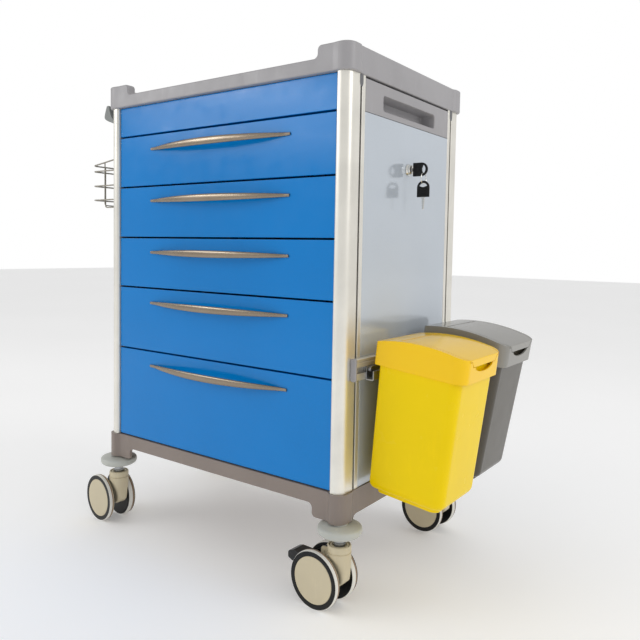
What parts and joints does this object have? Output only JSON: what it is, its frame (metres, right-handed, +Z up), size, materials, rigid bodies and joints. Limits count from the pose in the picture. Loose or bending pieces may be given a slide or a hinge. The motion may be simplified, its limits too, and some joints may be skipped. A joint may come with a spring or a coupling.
{
  "type": "ward trolley",
  "caption": "Wheeled ward trolley: drawers with bow handles between aluminium columns, moulded top and base, side lock with keys, lidded waste bins, wire basket and twin-wheel casters.",
  "frame": {"origin": "centre of the whole outline on the floor", "axes": "+Z up; the drawer fronts face -Y and the drawers open towards -Y; the bins hang on the +X side and the basket on the -X side"},
  "size_m": [0.92, 0.4764, 0.945],
  "materials": {
    "blue_enamel": "gloss powder coat",
    "silver_enamel": "satin silver-grey powder coat",
    "grey_abs": "moulded, fine texture",
    "base_abs": "moulded, fine texture",
    "anodised": "satin anodised",
    "zinc": "zinc plated",
    "satin_nickel": "satin nickel",
    "chrome": "polished",
    "black_plastic": "moulded, satin",
    "yellow_plastic": "gloss",
    "bin_grey": "gloss",
    "basket_wire": "plated wire",
    "bumper_grey": "soft satin",
    "cream_plastic": "moulded, satin",
    "tyre_white": "smooth white tread"
  },
  "bodies": {
    "cabinet": {"top_surround": "grey_abs", "base_tray": "base_abs", "side_panel_right": "silver_enamel", "side_panel_left": "silver_enamel", "back_panel": "silver_enamel", "grip_panel_right": "grey_abs", "push_handle_left": "grey_abs", "top_fascia": "blue_enamel", "runner_frame_right": "zinc", "runner_frame_left": "zinc", "lock_barrel": "chrome", "side_rail": "anodised", "rail_cap_front": "bumper_grey", "rail_cap_rear": "bumper_grey", "bin_carrier": "zinc", "wire_basket": "basket_wire", "column_front_right": "anodised", "bumper_front_right": "bumper_grey", "column_front_left": "anodised", "bumper_front_left": "bumper_grey", "column_rear_right": "anodised", "bumper_rear_right": "bumper_grey", "column_rear_left": "anodised", "bumper_rear_left": "bumper_grey"},
    "key": {"lock_cam": "zinc", "lock_key": "black_plastic"},
    "locking_bar": {"lock_bar": "zinc"},
    "key_ring_body": {"key_ring": "chrome"},
    "spare_key_body": {"spare_key": "black_plastic"},
    "swivel_front_right": {"caster_fork_front_right": "cream_plastic"},
    "wheels_front_right": {"wheelset_front_right": "tyre_white"},
    "swivel_front_left": {"caster_fork_front_left": "cream_plastic"},
    "wheels_front_left": {"wheelset_front_left": "tyre_white"},
    "swivel_rear_right": {"caster_fork_rear_right": "cream_plastic"},
    "wheels_rear_right": {"wheelset_rear_right": "tyre_white"},
    "swivel_rear_left": {"caster_fork_rear_left": "cream_plastic"},
    "wheels_rear_left": {"wheelset_rear_left": "tyre_white"},
    "pedal_front_right": {"brake_pedal_front_right": "black_plastic"},
    "pedal_rear_left": {"brake_pedal_rear_left": "black_plastic"},
    "drawer_1": {"drawer_1_front": "blue_enamel", "drawer_1_tray": "zinc", "drawer_1_handle": "satin_nickel"},
    "drawer_2": {"drawer_2_front": "blue_enamel", "drawer_2_tray": "zinc", "drawer_2_handle": "satin_nickel"},
    "drawer_3": {"drawer_3_front": "blue_enamel", "drawer_3_tray": "zinc", "drawer_3_handle": "satin_nickel"},
    "drawer_4": {"drawer_4_front": "blue_enamel", "drawer_4_tray": "zinc", "drawer_4_handle": "satin_nickel"},
    "drawer_5": {"drawer_5_front": "blue_enamel", "drawer_5_tray": "zinc", "drawer_5_handle": "satin_nickel"},
    "yellow_bin": {"yellow_bin_body": "yellow_plastic", "yellow_bin_collar": "yellow_plastic"},
    "yellow_bin_flap_body": {"yellow_bin_flap": "yellow_plastic"},
    "grey_bin": {"grey_bin_body": "bin_grey", "grey_bin_collar": "bin_grey"},
    "grey_bin_flap_body": {"grey_bin_flap": "bin_grey"}
  },
  "joints": [
    {"name": "drawer_1_slide", "type": "slide", "parent": "cabinet", "child": "drawer_1", "axis": [0, -1, 0], "range_m": [0, 0.33]},
    {"name": "drawer_2_slide", "type": "slide", "parent": "cabinet", "child": "drawer_2", "axis": [0, -1, 0], "range_m": [0, 0.33]},
    {"name": "drawer_3_slide", "type": "slide", "parent": "cabinet", "child": "drawer_3", "axis": [0, -1, 0], "range_m": [0, 0.33]},
    {"name": "drawer_4_slide", "type": "slide", "parent": "cabinet", "child": "drawer_4", "axis": [0, -1, 0], "range_m": [0, 0.33]},
    {"name": "drawer_5_slide", "type": "slide", "parent": "cabinet", "child": "drawer_5", "axis": [0, -1, 0], "range_m": [0, 0.33]},
    {"name": "key_turn", "type": "hinge", "parent": "cabinet", "child": "key", "pos_m": [0.25894, -0.00933, 0.7595], "axis": [1, 0, 0], "range_deg": [0, 90]},
    {"name": "key_ring_swing", "type": "hinge", "parent": "key", "child": "key_ring_body", "pos_m": [0.29719, -0.00933, 0.74925], "axis": [1, 0, 0], "range_deg": [-95, 95]},
    {"name": "spare_key_swing", "type": "hinge", "parent": "key_ring_body", "child": "spare_key_body", "pos_m": [0.29719, -0.00933, 0.73636], "axis": [1, 0, 0], "range_deg": [-80, 80]},
    {"name": "lock_bar_lift", "type": "slide", "parent": "cabinet", "child": "locking_bar", "axis": [0, 0, 1], "range_m": [0, 0.016]},
    {"name": "yellow_bin_lift", "type": "slide", "parent": "cabinet", "child": "yellow_bin", "axis": [0, 0, 1], "range_m": [0, 0.025]},
    {"name": "yellow_bin_flap_hinge", "type": "hinge", "parent": "yellow_bin", "child": "yellow_bin_flap_body", "pos_m": [0.34041, -0.08683, 0.45926], "axis": [0, -1, 0], "range_deg": [0, 95]},
    {"name": "grey_bin_lift", "type": "slide", "parent": "cabinet", "child": "grey_bin", "axis": [0, 0, 1], "range_m": [0, 0.025]},
    {"name": "grey_bin_flap_hinge", "type": "hinge", "parent": "grey_bin", "child": "grey_bin_flap_body", "pos_m": [0.3422, 0.08267, 0.46899], "axis": [0, -1, 0], "range_deg": [0, 95]},
    {"name": "swivel_front_right", "type": "hinge", "parent": "cabinet", "child": "swivel_front_right", "pos_m": [0.25554, -0.20023, 0.11], "axis": [0, 0, 1], "continuous": true},
    {"name": "roll_front_right", "type": "hinge", "parent": "swivel_front_right", "child": "wheels_front_right", "pos_m": [0.22518, -0.19864, 0.05], "axis": [-0.0523, -0.9986, 0], "continuous": true},
    {"name": "brake_front_right", "type": "hinge", "parent": "swivel_front_right", "child": "pedal_front_right", "pos_m": [0.22858, -0.19882, 0.096], "axis": [-0.0523, -0.9986, 0], "range_deg": [0, 7]},
    {"name": "swivel_front_left", "type": "hinge", "parent": "cabinet", "child": "swivel_front_left", "pos_m": [-0.33766, -0.20023, 0.11], "axis": [0, 0, 1], "continuous": true},
    {"name": "roll_front_left", "type": "hinge", "parent": "swivel_front_left", "child": "wheels_front_left", "pos_m": [-0.36787, -0.19684, 0.05], "axis": [-0.1115, -0.9938, 0], "continuous": true},
    {"name": "swivel_rear_right", "type": "hinge", "parent": "cabinet", "child": "swivel_rear_right", "pos_m": [0.25554, 0.19257, 0.11], "axis": [0, 0, 1], "continuous": true},
    {"name": "roll_rear_right", "type": "hinge", "parent": "swivel_rear_right", "child": "wheels_rear_right", "pos_m": [0.22528, 0.19548, 0.05], "axis": [-0.0958, -0.9954, 0], "continuous": true},
    {"name": "swivel_rear_left", "type": "hinge", "parent": "cabinet", "child": "swivel_rear_left", "pos_m": [-0.33766, 0.19257, 0.11], "axis": [0, 0, 1], "continuous": true},
    {"name": "roll_rear_left", "type": "hinge", "parent": "swivel_rear_left", "child": "wheels_rear_left", "pos_m": [-0.36768, 0.19733, 0.05], "axis": [-0.1564, -0.9877, 0], "continuous": true},
    {"name": "brake_rear_left", "type": "hinge", "parent": "swivel_rear_left", "child": "pedal_rear_left", "pos_m": [-0.36433, 0.19679, 0.096], "axis": [-0.1564, -0.9877, 0], "range_deg": [0, 7]}
  ],
  "couplings": [
    {"joint": "key_turn", "follows": "lock_bar_lift", "rad_per_m": 98.17}
  ]
}
